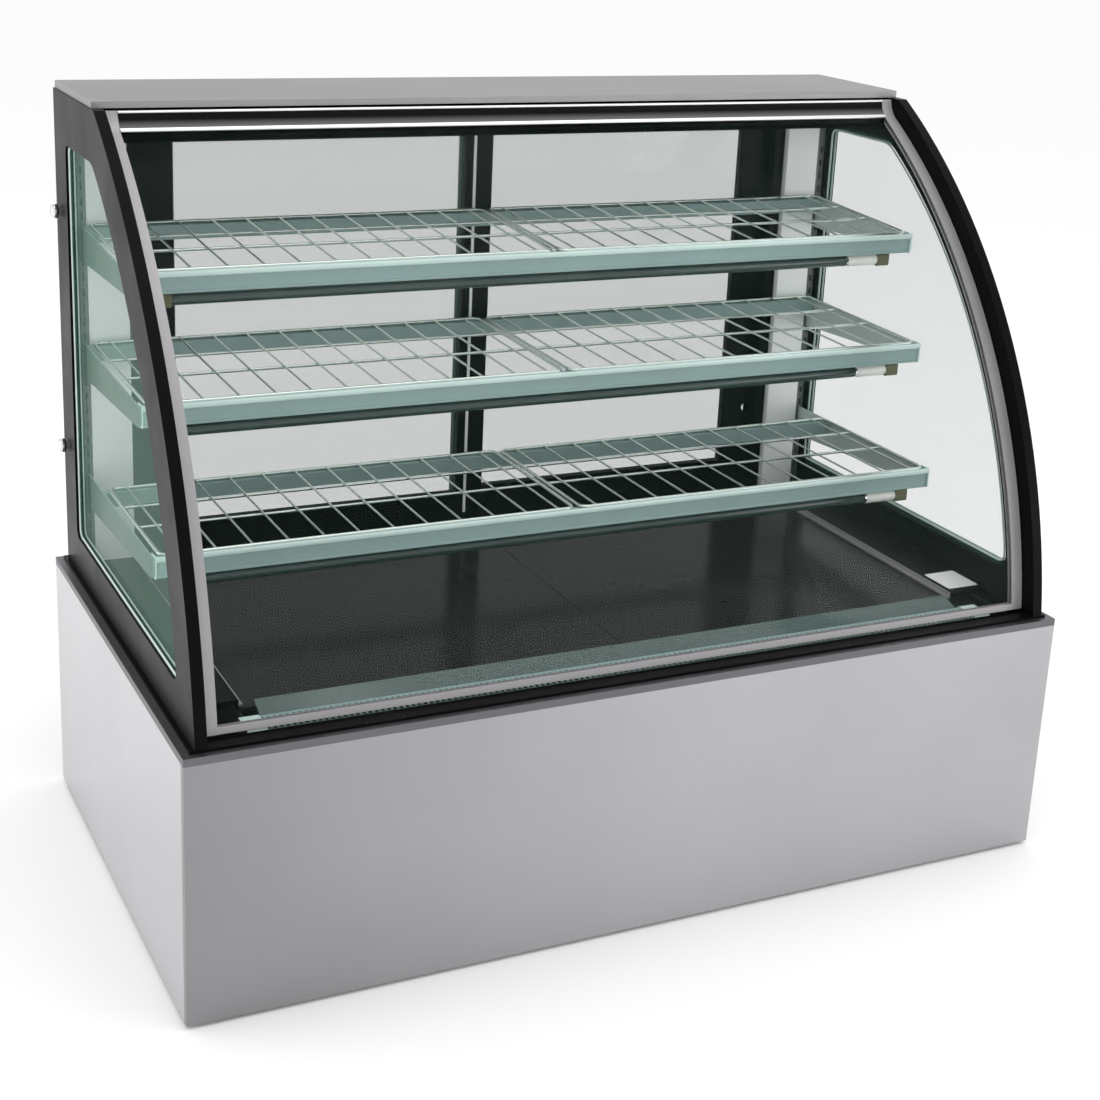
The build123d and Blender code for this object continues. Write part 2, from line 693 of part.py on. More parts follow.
upright_top = cap_z - 70
slot_count = int((upright_top - sill_top - 40) / slot_pitch)
with BuildPart() as slotted_uprights:
    for side in (-1, 1):
        low, high = sorted((side * (jamb_out + slip), side * (inner_x - slip)))
        box_between((low, jamb_front, sill_top), (high, jamb_front + upright_depth, upright_top))
    slot_rows = [sill_top + 20 + i * slot_pitch for i in range(slot_count)]
    with Locations(*[(side * bracket_x, jamb_front + slot_deep / 2, z + slot_h / 2)
                     for side in (-1, 1) for z in slot_rows]):
        Box(slot_w, slot_deep, slot_h, mode=Mode.SUBTRACT)
save(slotted_uprights.part, "slotted_uprights")

track_mid = (jamb_front + jamb_back) / 2 + 6
inner_door_y = track_mid - (door_t + door_gap) / 2
outer_door_y = track_mid + (door_t + door_gap) / 2
groove = door_t + 2 * door_side_clear
track_front = inner_door_y - groove / 2 - 3
track_rear = outer_door_y + groove / 2 + 3
track_half = jamb_in - slip
channel_in = jamb_in - channel_w

with BuildPart() as rear_track_bottom:
    box_between((-track_half, track_front, sill_top), (track_half, track_rear, sill_top + track_bottom_h))
    for door_y in (inner_door_y, outer_door_y):
        cut_between((-track_half, door_y - groove / 2, sill_top + track_plate),
                    (track_half, door_y + groove / 2, sill_top + track_bottom_h))
save(rear_track_bottom.part, "rear_track_bottom")

with BuildPart() as rear_track_top:
    box_between((-track_half, track_front, cap_z - track_top_h), (track_half, track_rear, cap_z))
    for door_y in (inner_door_y, outer_door_y):
        cut_between((-track_half, door_y - groove / 2, cap_z - track_top_h),
                    (track_half, door_y + groove / 2, cap_z - track_plate))
save(rear_track_top.part, "rear_track_top")

with BuildPart() as rear_side_channels:
    for side in (-1, 1):
        low, high = sorted((side * channel_in, side * track_half))
        web_low, web_high = sorted((side * channel_in, side * (track_half - channel_web)))
        box_between((low, track_front, sill_top + track_bottom_h), (high, track_rear, cap_z - track_top_h))
        for door_y in (inner_door_y, outer_door_y):
            cut_between((web_low, door_y - groove / 2, sill_top), (web_high, door_y + groove / 2, cap_z))
    cut_between((channel_in, inner_door_y, lock_z - cam_w / 2 - cam_clear),
                (track_half - channel_web, outer_door_y, lock_z + cam_l + cam_clear))
save(rear_side_channels.part, "rear_side_channels")

# ==== sliding doors =========================================================================
door_edge = track_half - channel_web - door_end_gap
lock_x = door_edge - lock_inset
pull_z = rim_z + pull_rise
door_low = sill_top + track_plate + door_foot_gap
door_high = cap_z - track_plate - door_top_gap
door_glass_bite = 7.0

for side, side_name, door_y in ((-1, "left", inner_door_y), (1, "right", outer_door_y)):
    outer_x = side * door_edge
    inner_edge = -side * door_meeting / 2
    x_low, x_high = sorted((outer_x, inner_edge))
    open_x = sorted((side * (door_edge - door_stile), side * door_meeting / 2))
    open_z = (door_low + door_rail_bottom + track_bottom_h, door_high - door_rail_top)
    y_low, y_high = door_y - door_t / 2, door_y + door_t / 2
    pull_x = side * (door_edge - door_stile / 2 - (0 if side < 0 else pull_offset))
    bite = door_glass_bite
    with BuildPart() as door_frame:
        box_between((x_low, y_low, door_low), (x_high, y_high, door_high))
        cut_between((open_x[0], y_low, open_z[0]), (open_x[1], y_high, open_z[1]))
        cut_between((open_x[0] - bite - slip, door_y - door_glass_t / 2 - slip, open_z[0] - bite - slip),
                    (open_x[1] + bite + slip, door_y + door_glass_t / 2 + slip, open_z[1] + bite + slip))
        cut_between((pull_x - pull_w / 2, y_high - pull_deep, pull_z - pull_h / 2),
                    (pull_x + pull_w / 2, y_high, pull_z + pull_h / 2))
        if side > 0:
            with BuildSketch(Plane.XZ.offset(-y_high)):
                with Locations((lock_x, lock_z)):
                    Circle(lock_r + running)
            extrude(amount=door_t, mode=Mode.SUBTRACT)
    save(door_frame.part, f"door_{side_name}_frame")

    with BuildPart() as door_glass:
        box_between((open_x[0] - bite, door_y - door_glass_t / 2, open_z[0] - bite),
                    (open_x[1] + bite, door_y + door_glass_t / 2, open_z[1] + bite))
    save(door_glass.part, f"door_{side_name}_glass")

    with BuildPart() as door_pull:
        box_between((pull_x - pull_w / 2, y_high - pull_deep, pull_z - pull_h / 2),
                    (pull_x + pull_w / 2, y_high, pull_z + pull_h / 2))
        box_between((pull_x - pull_w / 2 - pull_flange, y_high, pull_z - pull_h / 2 - pull_flange),
                    (pull_x + pull_w / 2 + pull_flange, y_high + pull_wall, pull_z + pull_h / 2 + pull_flange))
        cut_between((pull_x - pull_w / 2 + pull_wall, y_high - pull_deep + pull_wall, pull_z - pull_h / 2 + pull_wall),
                    (pull_x + pull_w / 2 - pull_wall, y_high + pull_wall, pull_z + pull_h / 2 - pull_wall))
    save(door_pull.part, f"door_{side_name}_pull")

cam_y = outer_door_y - door_t / 2 - 1 - cam_t
with BuildPart() as door_lock:
    with BuildSketch(Plane.XZ.offset(-(outer_door_y + door_t / 2 + 2))):
        with Locations((lock_x, lock_z)):
            Circle(lock_r)
    extrude(amount=door_t + 2 + 1 + cam_t)
    with BuildSketch(Plane.XZ.offset(-(outer_door_y + door_t / 2 + 2))):
        with Locations((lock_x, lock_z)):
            Rectangle(1.6, 7)
    extrude(amount=3, mode=Mode.SUBTRACT)
    with BuildSketch(Plane.XZ.offset(-(cam_y + cam_t))):
        with Locations((lock_x, lock_z + cam_l / 2 - cam_w / 4)):
            SlotOverall(cam_l + cam_w / 2, cam_w, rotation=90)
    extrude(amount=cam_t)
save(door_lock.part, "door_lock")

# ==== deck ==================================================================================
for side, side_name in ((-1, "left"), (1, "right")):
    low, high = sorted((side * slip, side * deck_half))
    with BuildPart() as deck_panel:
        box_between((low, tray_front + grille_run + lip_run, tray_top), (high, tray_back, deck_top))
        fillet(deck_panel.edges().filter_by(Axis.Z), 2)
        chamfer(deck_panel.edges().group_by(Axis.Z)[-1], 0.8)
    save(deck_panel.part, f"deck_panel_{side_name}")

with BuildPart() as air_grille:
    slots = int((2 * deck_half - 20) / grille_pitch)
    box_between((-deck_half, tray_front, rim_z), (deck_half, tray_front + grille_run, rim_z + grille_t))
    box_between((-deck_half, tray_front, tray_top), (deck_half, tray_front + grille_t, rim_z))
    box_between((-deck_half, tray_front + grille_run - grille_t, tray_top),
                (deck_half, tray_front + grille_run, rim_z))
    with BuildSketch(Plane.XY.offset(rim_z)):
        with Locations((0, tray_front + grille_run / 2)):
            with GridLocations(grille_pitch, 1, slots, 1):
                Rectangle(grille_slot, grille_run - 12)
    extrude(amount=grille_t, mode=Mode.SUBTRACT)
save(air_grille.part, "air_grille")

with BuildPart() as glass_lip:
    lip_front = tray_front + grille_run + slip
    lip_z = rim_z + grille_t
    with BuildSketch(Plane.YZ.offset(-deck_half + lip_side)):
        with BuildLine():
            Polyline((lip_front, lip_z), (lip_front + lip_run - 3, lip_z + lip_rise),
                     (lip_front + lip_run - 3, lip_z + lip_rise - lip_t), (lip_front, lip_z - lip_t), close=True)
        make_face()
    extrude(amount=2 * (deck_half - lip_side))
save(glass_lip.part, "glass_lip")

cover_top = deck_top + cover_rise
cover_front = lip_front + lip_run + 6
with BuildPart() as end_covers:
    for side in (-1, 1):
        low, high = sorted((side * (deck_half + slip), side * (inner_x - slip)))
        box_between((low, cover_front, cover_top - thin_sheet), (high, jamb_front - slip, cover_top))
        leg_low, leg_high = sorted((side * (deck_half + slip), side * (deck_half + slip + thin_sheet)))
        box_between((leg_low, cover_front, sill_top), (leg_high, jamb_front - slip, cover_top))
        leg_low, leg_high = sorted((side * (inner_x - slip), side * (inner_x - slip - thin_sheet)))
        box_between((leg_low, cover_front, sill_top), (leg_high, jamb_front - slip, cover_top))
        box_between((low, cover_front, sill_top), (high, cover_front + thin_sheet, cover_top))
save(end_covers.part, "end_covers")

with BuildPart() as deck_trims:
    for side in (-1, 1):
        low, high = sorted((side * (deck_half - trim_line), side * deck_half))
        box_between((low, cover_front, deck_top), (high, tray_back, deck_top + trim_line_h))
        leg_low, leg_high = sorted((side * (deck_half - 1.5), side * deck_half))
        box_between((leg_low, cover_front, deck_top), (leg_high, tray_back, cover_top))
save(deck_trims.part, "deck_trims")

# ==== shelves ===============================================================================


def shelf_plane(front_y, rise, tilt):
    """Plane of a shelf: x to the right, y to the back, z up from the front rail's top edge."""
    turn = radians(tilt)
    return Plane(origin=(0, front_y, rim_z + rise), x_dir=(1, 0, 0), z_dir=(0, -sin(turn), cos(turn)))


def rack(plane, side, run):
    """One wire rack on the rails: a rim wire, two bearers under it and cross wires front to back."""
    x_in, x_out = rack_gap / 2 + frame_wire_r, bracket_x - bracket_t / 2 - rack_end_gap
    y_in, y_out = frame_wire_r + 1, run - frame_wire_r - 1
    mid_x, mid_y = side * (x_in + x_out) / 2, (y_in + y_out) / 2
    long_x, long_y = x_out - x_in, y_out - y_in
    cross_wires = int(long_x / cross_pitch)
    rim_wire_z = frame_wire_r + 0.05
    cross_z = rim_wire_z + frame_wire_r - cross_wire_r
    bearer_z = cross_z - cross_wire_r - bearer_wire_r + 0.4
    with BuildPart(plane) as wires:
        with BuildLine(plane.offset(rim_wire_z)) as rim_path:
            corners = [(mid_x + sx * long_x / 2, mid_y + sy * long_y / 2)
                       for sx, sy in ((-1, -1), (1, -1), (1, 1), (-1, 1))]
            FilletPolyline(*corners, radius=rack_corner_r, close=True)
        with BuildSketch(Plane(origin=rim_path.wire() @ 0, z_dir=rim_path.wire() % 0)):
            Circle(frame_wire_r)
        sweep(path=rim_path.wire())
        for share in bearer_at:
            with Locations((mid_x, y_in + share * long_y, bearer_z)):
                Cylinder(bearer_wire_r, long_x, rotation=(0, 90, 0))
        with Locations((mid_x, mid_y, cross_z)):
            with GridLocations(long_x / cross_wires, 1, cross_wires, 1):
                Cylinder(cross_wire_r, long_y, rotation=(90, 0, 0))
        for share in (-1, 1):
            with Locations(*[(mid_x + share * long_x / 2, y_in + at * long_y, (bearer_z + rim_wire_z) / 2)
                             for at in bearer_at]):
                Cylinder(bearer_wire_r, 2 * bearer_wire_r)
    return wires.part


def rail_profile(plane, run_at, apron, top, foot):
    """A folded rail across the shelf, its apron facing the front, at a run behind the front edge."""
    start = plane.origin - plane.x_dir * rail_half
    with BuildSketch(Plane(origin=start, x_dir=plane.y_dir, z_dir=plane.x_dir)) as section:
        with Locations((run_at, 0)):
            Rectangle(thin_sheet, apron, align=(Align.MIN, Align.MAX))
            Rectangle(top, thin_sheet, align=(Align.MIN, Align.MAX))
        with Locations((run_at, -apron)):
            Rectangle(foot, thin_sheet, align=(Align.MIN, Align.MIN))
    extrude(section.sketch, amount=2 * rail_half)


def bracket_plate(side, nose_y, rise, tilt):
    """Cantilever plate on one end upright, its top edge along the shelf, with two hooks in the slots."""
    slope = sin(radians(tilt)) / cos(radians(tilt))
    heel_y = jamb_front - slip
    nose_z = rim_z + rise
    heel_z = nose_z + (heel_y - nose_y) * slope
    with BuildSketch(Plane.YZ.offset(side * bracket_x - bracket_t / 2)) as section:
        with BuildLine():
            Polyline((nose_y, nose_z), (heel_y, heel_z), (heel_y, heel_z - bracket_rear_h),
                     (nose_y + 10, nose_z - bracket_front_h), (nose_y, nose_z - bracket_front_h + 8), close=True)
        make_face()
    extrude(section.sketch, amount=bracket_t)
    first_slot = int((heel_z - bracket_rear_h + 2 - slot_rows[0]) / slot_pitch) + 1
    for i in (first_slot, first_slot + 1):
        hook_low = slot_rows[0] + i * slot_pitch + 1
        box_between((side * bracket_x - bracket_t / 2, heel_y - 1, hook_low),
                    (side * bracket_x + bracket_t / 2, jamb_front + hook_bite, hook_low + slot_h - 2))


rail_half = bracket_x - bracket_t / 2 - slip
lamp_planes = []

for name, front_gap, rear_gap, rise, tilt in shelves:
    front_y = curve_y(rim_z + rise, trim_out) + front_gap
    plane = shelf_plane(front_y, rise, tilt)
    run = (jamb_front - rear_gap - front_y) / cos(radians(tilt))
    lamp_planes.append(plane)
    with BuildPart() as shelf_frame:
        rail_profile(plane, 0, rail_h, rail_top, rail_foot)
        rail_profile(plane, run - rail_top, rear_rail_h, rail_top, rail_foot)
        for side in (-1, 1):
            bracket_plate(side, front_y, rise, tilt)
    save(shelf_frame.part, f"shelf_{name}_frame")
    for side, side_name in ((-1, "left"), (1, "right")):
        save(rack(plane, side, run), f"shelf_{name}_rack_{side_name}")

with BuildPart() as shelf_lamps:
    lamp_half = rail_half - lamp_inset
    for plane in lamp_planes:
        axis_at = plane.origin + plane.y_dir * (lamp_r + 4) - plane.z_dir * (rail_h + lamp_drop + lamp_r)
        for reach, radius in ((lamp_half - lamp_end - lamp_holder, lamp_r), (lamp_half - lamp_end, lamp_r + 0.8)):
            inner = 0 if radius == lamp_r else lamp_half - lamp_end - lamp_holder
            for side in (-1, 1):
                base = axis_at + plane.x_dir * (side * inner)
                with BuildSketch(Plane(origin=base, z_dir=plane.x_dir * side)):
                    Circle(radius)
                extrude(amount=reach - inner)
        for side in (-1, 1):
            base = axis_at + plane.x_dir * (side * (lamp_half - lamp_end))
            with BuildSketch(Plane(origin=base, x_dir=plane.y_dir, z_dir=plane.x_dir * side)):
                RectangleRounded(2 * lamp_r + 4, 2 * lamp_r + 2, 3)
            extrude(amount=lamp_end)
save(shelf_lamps.part, "shelf_lamps")
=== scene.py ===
import json
from math import atan2, asin, cos, pi, radians, sin, sqrt, tan

import bpy
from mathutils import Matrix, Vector


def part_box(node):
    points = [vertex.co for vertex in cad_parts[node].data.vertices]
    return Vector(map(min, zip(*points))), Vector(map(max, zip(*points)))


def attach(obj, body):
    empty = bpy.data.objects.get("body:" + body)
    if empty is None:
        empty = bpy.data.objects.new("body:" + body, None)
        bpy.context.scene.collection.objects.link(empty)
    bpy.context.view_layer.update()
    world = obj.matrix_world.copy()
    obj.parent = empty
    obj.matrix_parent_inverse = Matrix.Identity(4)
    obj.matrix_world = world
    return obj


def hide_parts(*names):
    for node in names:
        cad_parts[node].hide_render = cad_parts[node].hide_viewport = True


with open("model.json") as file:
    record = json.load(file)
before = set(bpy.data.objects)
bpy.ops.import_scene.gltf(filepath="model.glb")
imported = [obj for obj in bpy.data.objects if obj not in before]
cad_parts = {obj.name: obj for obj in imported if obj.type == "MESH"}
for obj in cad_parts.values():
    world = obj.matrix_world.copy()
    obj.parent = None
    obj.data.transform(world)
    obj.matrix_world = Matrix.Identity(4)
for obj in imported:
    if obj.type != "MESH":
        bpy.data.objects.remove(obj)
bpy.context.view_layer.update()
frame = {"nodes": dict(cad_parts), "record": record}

nodes = frame["nodes"]

# ---- sizes in metres ------------------------------------------------------------------------
curve_bulge = 0.109          # front curve out from its chord
cap_setback = 0.028
glass_inset, glass_t, trim_proud = 0.031, 0.006, 0.0025
shelf_tilt = {"top": 3.0, "middle": 1.2, "lower": 0.0}
hook_bite = 0.005
rail_h = 0.032
lamp_r, lamp_drop, lamp_behind = 0.010, 0.002, 0.004
rail_end_gap = 0.0028        # shelf rail's end to the end of its bracket plate
rebate = 0.008               # side glass hidden in the end frame

frame_lo, frame_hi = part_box("side_frame_left")
cap_lo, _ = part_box("top_cap")
to_right, to_back, to_top = Vector((1, 0, 0)), Vector((0, 1, 0)), Vector((0, 0, 1))


def circle_through(start, end, bulge):
    """Centre and radius of the arc from start to end that bulges forward and up."""
    chord_y, chord_z = end[0] - start[0], end[1] - start[1]
    chord = sqrt(chord_y**2 + chord_z**2)
    radius = (chord**2 / 4 + bulge**2) / (2 * bulge)
    reach = radius - bulge
    centre_y = (start[0] + end[0]) / 2 + reach * chord_z / chord
    centre_z = (start[1] + end[1]) / 2 - reach * chord_y / chord
    return centre_y, centre_z, radius


curve_cy, curve_cz, curve_r = circle_through(
    (frame_lo.y, frame_lo.z), (cap_lo.y - cap_setback, frame_hi.z), curve_bulge)
foot_angle = asin((frame_lo.z - curve_cz) / curve_r)
curve_run = asin((frame_hi.z - curve_cz) / curve_r) * curve_r - foot_angle * curve_r


def on_curve(run, inset):
    """(y, z) at a run along the front curve from its foot, and a depth inside it."""
    angle = foot_angle + run / curve_r
    return curve_cy - (curve_r - inset) * cos(angle), curve_cz + (curve_r - inset) * sin(angle)


# ---- materials ------------------------------------------------------------------------------
brush_scale, brush_depth = 60.0, 0.0002
peel_scale, peel_depth = 260.0, 0.0003
cloud_scale, patch_scale, wipe_scale = 9.0, 3.0, 2.5
noise_low, noise_high = 0.3, 0.7      # where nearly all of the noise lies


def shader(name, color, metallic=0.0, roughness=0.4, alpha=1.0, ior=1.45, specular=0.5, coat=0.0):
    """A material with its Principled shader, and the tools to add detail to it."""
    mat = bpy.data.materials.new(name)
    mat.use_nodes = True
    bsdf = mat.node_tree.nodes["Principled BSDF"]
    values = {"Base Color": (*color, 1.0), "Metallic": metallic, "Roughness": roughness, "Alpha": alpha,
              "IOR": ior, "Specular IOR Level": specular, "Coat Weight": coat, "Coat Roughness": 0.05}
    for socket, value in values.items():
        bsdf.inputs[socket].default_value = value
    mat.diffuse_color = (*color, alpha)
    return mat, bsdf


def grain(mat, scale, stretch=(1, 1, 1), detail=3.0):
    """Noise in the object's own metres, stretched for brushing; returns its value socket."""
    tree = mat.node_tree
    place = tree.nodes.new("ShaderNodeTexCoord")
    mapping = tree.nodes.new("ShaderNodeMapping")
    mapping.inputs["Scale"].default_value = stretch
    noise = tree.nodes.new("ShaderNodeTexNoise")
    noise.inputs["Scale"].default_value = scale
    noise.inputs["Detail"].default_value = detail
    tree.links.new(place.outputs["Object"], mapping.inputs["Vector"])
    tree.links.new(mapping.outputs["Vector"], noise.inputs["Vector"])
    return noise.outputs["Fac"]


def color_ramp(mat, source, stops):
    """A colour picked by a value from 0 to 1, through stops of (place, colour)."""
    ramp = mat.node_tree.nodes.new("ShaderNodeValToRGB")
    points = ramp.color_ramp.elements
    while len(points) < len(stops):
        points.new(0.5)
    for point, (at, color) in zip(points, stops):
        point.position = at
        point.color = (*color, 1)
    mat.node_tree.links.new(source, ramp.inputs["Fac"])
    return ramp.outputs["Color"]


def map_range(mat, source, from_range, to_range=(0.0, 1.0)):
    spread = mat.node_tree.nodes.new("ShaderNodeMapRange")
    for socket, value in zip(("From Min", "From Max", "To Min", "To Max"), (*from_range, *to_range)):
        spread.inputs[socket].default_value = value
    mat.node_tree.links.new(source, spread.inputs["Value"])
    return spread.outputs["Result"]


def along_axis(mat, axis, from_range, to_range=(0.0, 1.0)):
    """A value that changes along one of the object's own axes."""
    tree = mat.node_tree
    place = tree.nodes.new("ShaderNodeTexCoord")
    split = tree.nodes.new("ShaderNodeSeparateXYZ")
    tree.links.new(place.outputs["Object"], split.inputs["Vector"])
    return map_range(mat, split.outputs[axis], from_range, to_range)


def scale_color(mat, bsdf, color, factor):
    """Base colour is the colour socket times the factor socket."""
    tree = mat.node_tree
    tint = tree.nodes.new("ShaderNodeVectorMath")
    tint.operation = "SCALE"
    tree.links.new(color, tint.inputs[0])
    tree.links.new(factor, tint.inputs["Scale"])
    tree.links.new(tint.outputs["Vector"], bsdf.inputs["Base Color"])


def vary_color(mat, bsdf, source, color, spread):
    """Base colour runs from a little darker to a little lighter over the noise."""
    stops = ((noise_low, shade_of(color, 1 - spread)), (noise_high, shade_of(color, 1 + spread)))
    mat.node_tree.links.new(color_ramp(mat, source, stops), bsdf.inputs["Base Color"])


def vary_roughness(mat, bsdf, source, low, high):
    rough = map_range(mat, source, (noise_low, noise_high), (low, high))
    mat.node_tree.links.new(rough, bsdf.inputs["Roughness"])


def add_bump(mat, bsdf, source, strength, depth):
    bump = mat.node_tree.nodes.new("ShaderNodeBump")
    bump.inputs["Strength"].default_value = strength
    bump.inputs["Distance"].default_value = depth
    mat.node_tree.links.new(source, bump.inputs["Height"])
    mat.node_tree.links.new(bump.outputs["Normal"], bsdf.inputs["Normal"])


def shade_of(color, factor):
    return tuple(min(1.0, c * factor) for c in color)


def brushed(name, color, stretch, roughness=(0.30, 0.42), strength=0.12, spread=0.04, painted_shade=None):
    """Brushed or rolled metal, its lines along the axis with the small stretch.

    Its last argument is (x_from, x_to, share), a painted shade along X: the colour starts at that share of
    itself and is whole from x_to on.
    """
    mat, bsdf = shader(name, color, metallic=1.0)
    lines = grain(mat, brush_scale, stretch)
    patches = grain(mat, patch_scale, detail=2.0)
    vary_color(mat, bsdf, patches, color, spread)
    vary_roughness(mat, bsdf, lines, *roughness)
    add_bump(mat, bsdf, lines, strength, brush_depth)
    # painted shade: the base colour darkens towards low X, standing in for light falling off across the face
    if painted_shade:
        x_from, x_to, share = painted_shade
        plain = bsdf.inputs["Base Color"].links[0].from_socket
        scale_color(mat, bsdf, plain, along_axis(mat, "X", (x_from, x_to), (share, 1.0)))
    return mat


def painted(name, color, roughness=(0.22, 0.34), specular=0.5, peel=0.03, spread=0.15, metallic=0.0):
    """Paint or moulding with fine orange peel and slightly uneven gloss."""
    mat, bsdf = shader(name, color, specular=specular, metallic=metallic)
    fine = grain(mat, peel_scale, detail=1.0)
    clouds = grain(mat, cloud_scale, detail=4.0)
    vary_color(mat, bsdf, clouds, color, spread)
    vary_roughness(mat, bsdf, clouds, *roughness)
    add_bump(mat, bsdf, fine, peel, peel_depth)
    return mat


def clear(name, color, alpha, roughness=0.02, specular=0.5, spread=0.04):
    """Pane that shows what is behind it, with faint wipe marks in its tint."""
    mat, bsdf = shader(name, color, roughness=roughness, alpha=alpha, specular=specular)
    wipes = grain(mat, wipe_scale, (1, 1, 2.5), detail=5.0)
    vary_color(mat, bsdf, wipes, color, spread)
    return mat


def outward(mat):
    """1 on faces that look away from the middle along X, 0 on those that look towards it, 0.5 on the rest."""
    tree = mat.node_tree
    place = tree.nodes.new("ShaderNodeTexCoord")
    facing = tree.nodes.new("ShaderNodeVectorMath")
    facing.operation = "MULTIPLY"
    tree.links.new(place.outputs["Object"], facing.inputs[0])
    tree.links.new(place.outputs["Normal"], facing.inputs[1])
    split = tree.nodes.new("ShaderNodeSeparateXYZ")
    tree.links.new(facing.outputs["Vector"], split.inputs["Vector"])
    return map_range(mat, split.outputs["X"], (-0.5, 0.5))


def paint_shaded_by_facing(name, stops, specular, roughness, peel=0.02):
    """Paint with painted light and shade by facing: a colour on inner faces, plain faces and outer faces,
    each (place, colour).
    """
    mat, bsdf = shader(name, stops[0][1], specular=specular)
    clouds = grain(mat, cloud_scale, detail=4.0)
    uneven = map_range(mat, clouds, (0.0, 1.0), (0.92, 1.08))
    # painted light and shade: the colour follows which way a face looks along X
    scale_color(mat, bsdf, color_ramp(mat, outward(mat), stops), uneven)
    vary_roughness(mat, bsdf, clouds, *roughness)
    add_bump(mat, bsdf, grain(mat, peel_scale, detail=1.0), peel, peel_depth)
    return mat


def pull_shade_ramp(low_z, high_z):
    """Hollow of the top pull, its light and shade painted by height: mid grey at its foot, black from two
    thirds of the way up.
    """
    mat, bsdf = shader("pull_hollow_shaded", (0.02, 0.02, 0.02), specular=0.1)
    # painted shade: grey at the foot of the hollow, turning black two thirds of the way up
    level = along_axis(mat, "Z", (low_z, high_z))
    color = color_ramp(mat, level, ((0.05, (0.30, 0.29, 0.30)), (0.65, (0.003, 0.003, 0.003))))
    mat.node_tree.links.new(color, bsdf.inputs["Base Color"])
    lines = grain(mat, brush_scale, long_lines)
    vary_roughness(mat, bsdf, lines, 0.3, 0.42)
    add_bump(mat, bsdf, lines, 0.05, brush_depth)
    return mat


upright_lines = (14, 14, 0.25)
long_lines = (0.25, 14, 14)
# base front with painted shade: 0.66 of its colour at x -0.75, whole from x -0.05 on, darker at its left end
steel_front = brushed("stainless", (0.43, 0.43, 0.445), upright_lines, painted_shade=(-0.75, -0.05, 0.66))
# base sides: a lighter copy of the front steel, painted light on the sides
steel_side_lit = brushed("stainless_side_lit", (0.56, 0.56, 0.575), upright_lines)
steel_cap = brushed("cap_steel", (0.32, 0.32, 0.32), long_lines, roughness=(0.5, 0.6))
steel_rim = brushed("rim_steel", (0.155, 0.155, 0.165), long_lines, roughness=(0.35, 0.5))
steel_jamb = painted("jamb", (0.91, 0.94, 0.94), roughness=(0.25, 0.35), spread=0.03)
zinc = painted("galvanised", (0.36, 0.37, 0.38), roughness=(0.35, 0.55), spread=0.3, metallic=0.8)
# end frames: painted sheen, outer faces a little lighter than the black inner and plain faces
frame_paint_shaded = paint_shaded_by_facing(
    "frame_black", ((0.35, (0.003, 0.003, 0.003)), (0.65, (0.003, 0.003, 0.003)),
                    (0.8, (0.016, 0.016, 0.017))),
    specular=0.06, roughness=(0.3, 0.42))
gloss_black = painted("trim_black", (0.004, 0.004, 0.0045), roughness=(0.2, 0.3), specular=0.06, peel=0.01)
silver = painted("trim_silver", (0.37, 0.36, 0.37), roughness=(0.4, 0.5), specular=0.3, peel=0.01,
                 spread=0.03, metallic=0.35)
bright_line = brushed("bright_line", (0.80, 0.80, 0.80), long_lines, roughness=(0.3, 0.4))
front_pane = clear("glass_clear", (0.02, 0.06, 0.045), 0.045)
side_pane = clear("glass_side", (0.10, 0.33, 0.23), 0.13)
rear_pane = clear("glass_rear", (0.06, 0.17, 0.11), 0.25)
lip_pane = clear("glass_lip", (0.12, 0.17, 0.16), 0.72, roughness=0.08)
deck_black = painted("deck_glass", (0.020, 0.020, 0.020), roughness=(0.12, 0.16), specular=0.06,
                     peel=0.002, spread=0.06)
# shelf rails: painted light and shade, light on faces looking towards the middle, dark on faces looking
# outward
rail_paint_shaded = paint_shaded_by_facing(
    "shelf_rail", ((0.2, (0.55, 0.64, 0.61)), (0.4, (0.27, 0.385, 0.375)), (0.6, (0.27, 0.385, 0.375)),
                   (0.8, (0.060, 0.105, 0.085))),
    specular=0.3, roughness=(0.3, 0.4))
# lighter copy of the rail paint, a painted highlight on the shelf lips and end plates; also used on the
# grille end pieces
rail_edge_highlight = painted("rail_edge_highlight", (0.62, 0.78, 0.75), roughness=(0.12, 0.2), spread=0.04)
wire_metal = brushed("wire", (0.62, 0.70, 0.66), long_lines, roughness=(0.2, 0.32), strength=0.05)
upright_paint = painted("upright", (0.10, 0.11, 0.11), roughness=(0.3, 0.45))
tube_glass = painted("lamp", (0.035, 0.062, 0.055), roughness=(0.08, 0.16), specular=0.6)
lamp_white = painted("lamp_white", (0.80, 0.82, 0.78), roughness=(0.3, 0.4), spread=0.04)
lamp_socket = painted("lamp_socket", (0.10, 0.10, 0.045), roughness=(0.3, 0.5))
chrome = brushed("chrome", (0.72, 0.72, 0.74), long_lines, roughness=(0.06, 0.12), strength=0.02)
rubber = painted("rubber", (0.02, 0.02, 0.02), roughness=(0.6, 0.8), peel=0.3)
plastic = painted("black_plastic", (0.018, 0.018, 0.018), roughness=(0.4, 0.55), peel=0.25)
red_lens = painted("red_plastic", (0.42, 0.02, 0.012), roughness=(0.12, 0.2))
green_lens = painted("green_plastic", (0.02, 0.25, 0.06), roughness=(0.12, 0.2))
label_white = painted("label_white", (0.85, 0.85, 0.85), roughness=(0.35, 0.5), spread=0.03)
seal_light = painted("seal_light", (0.62, 0.72, 0.67), roughness=(0.2, 0.3), spread=0.05)

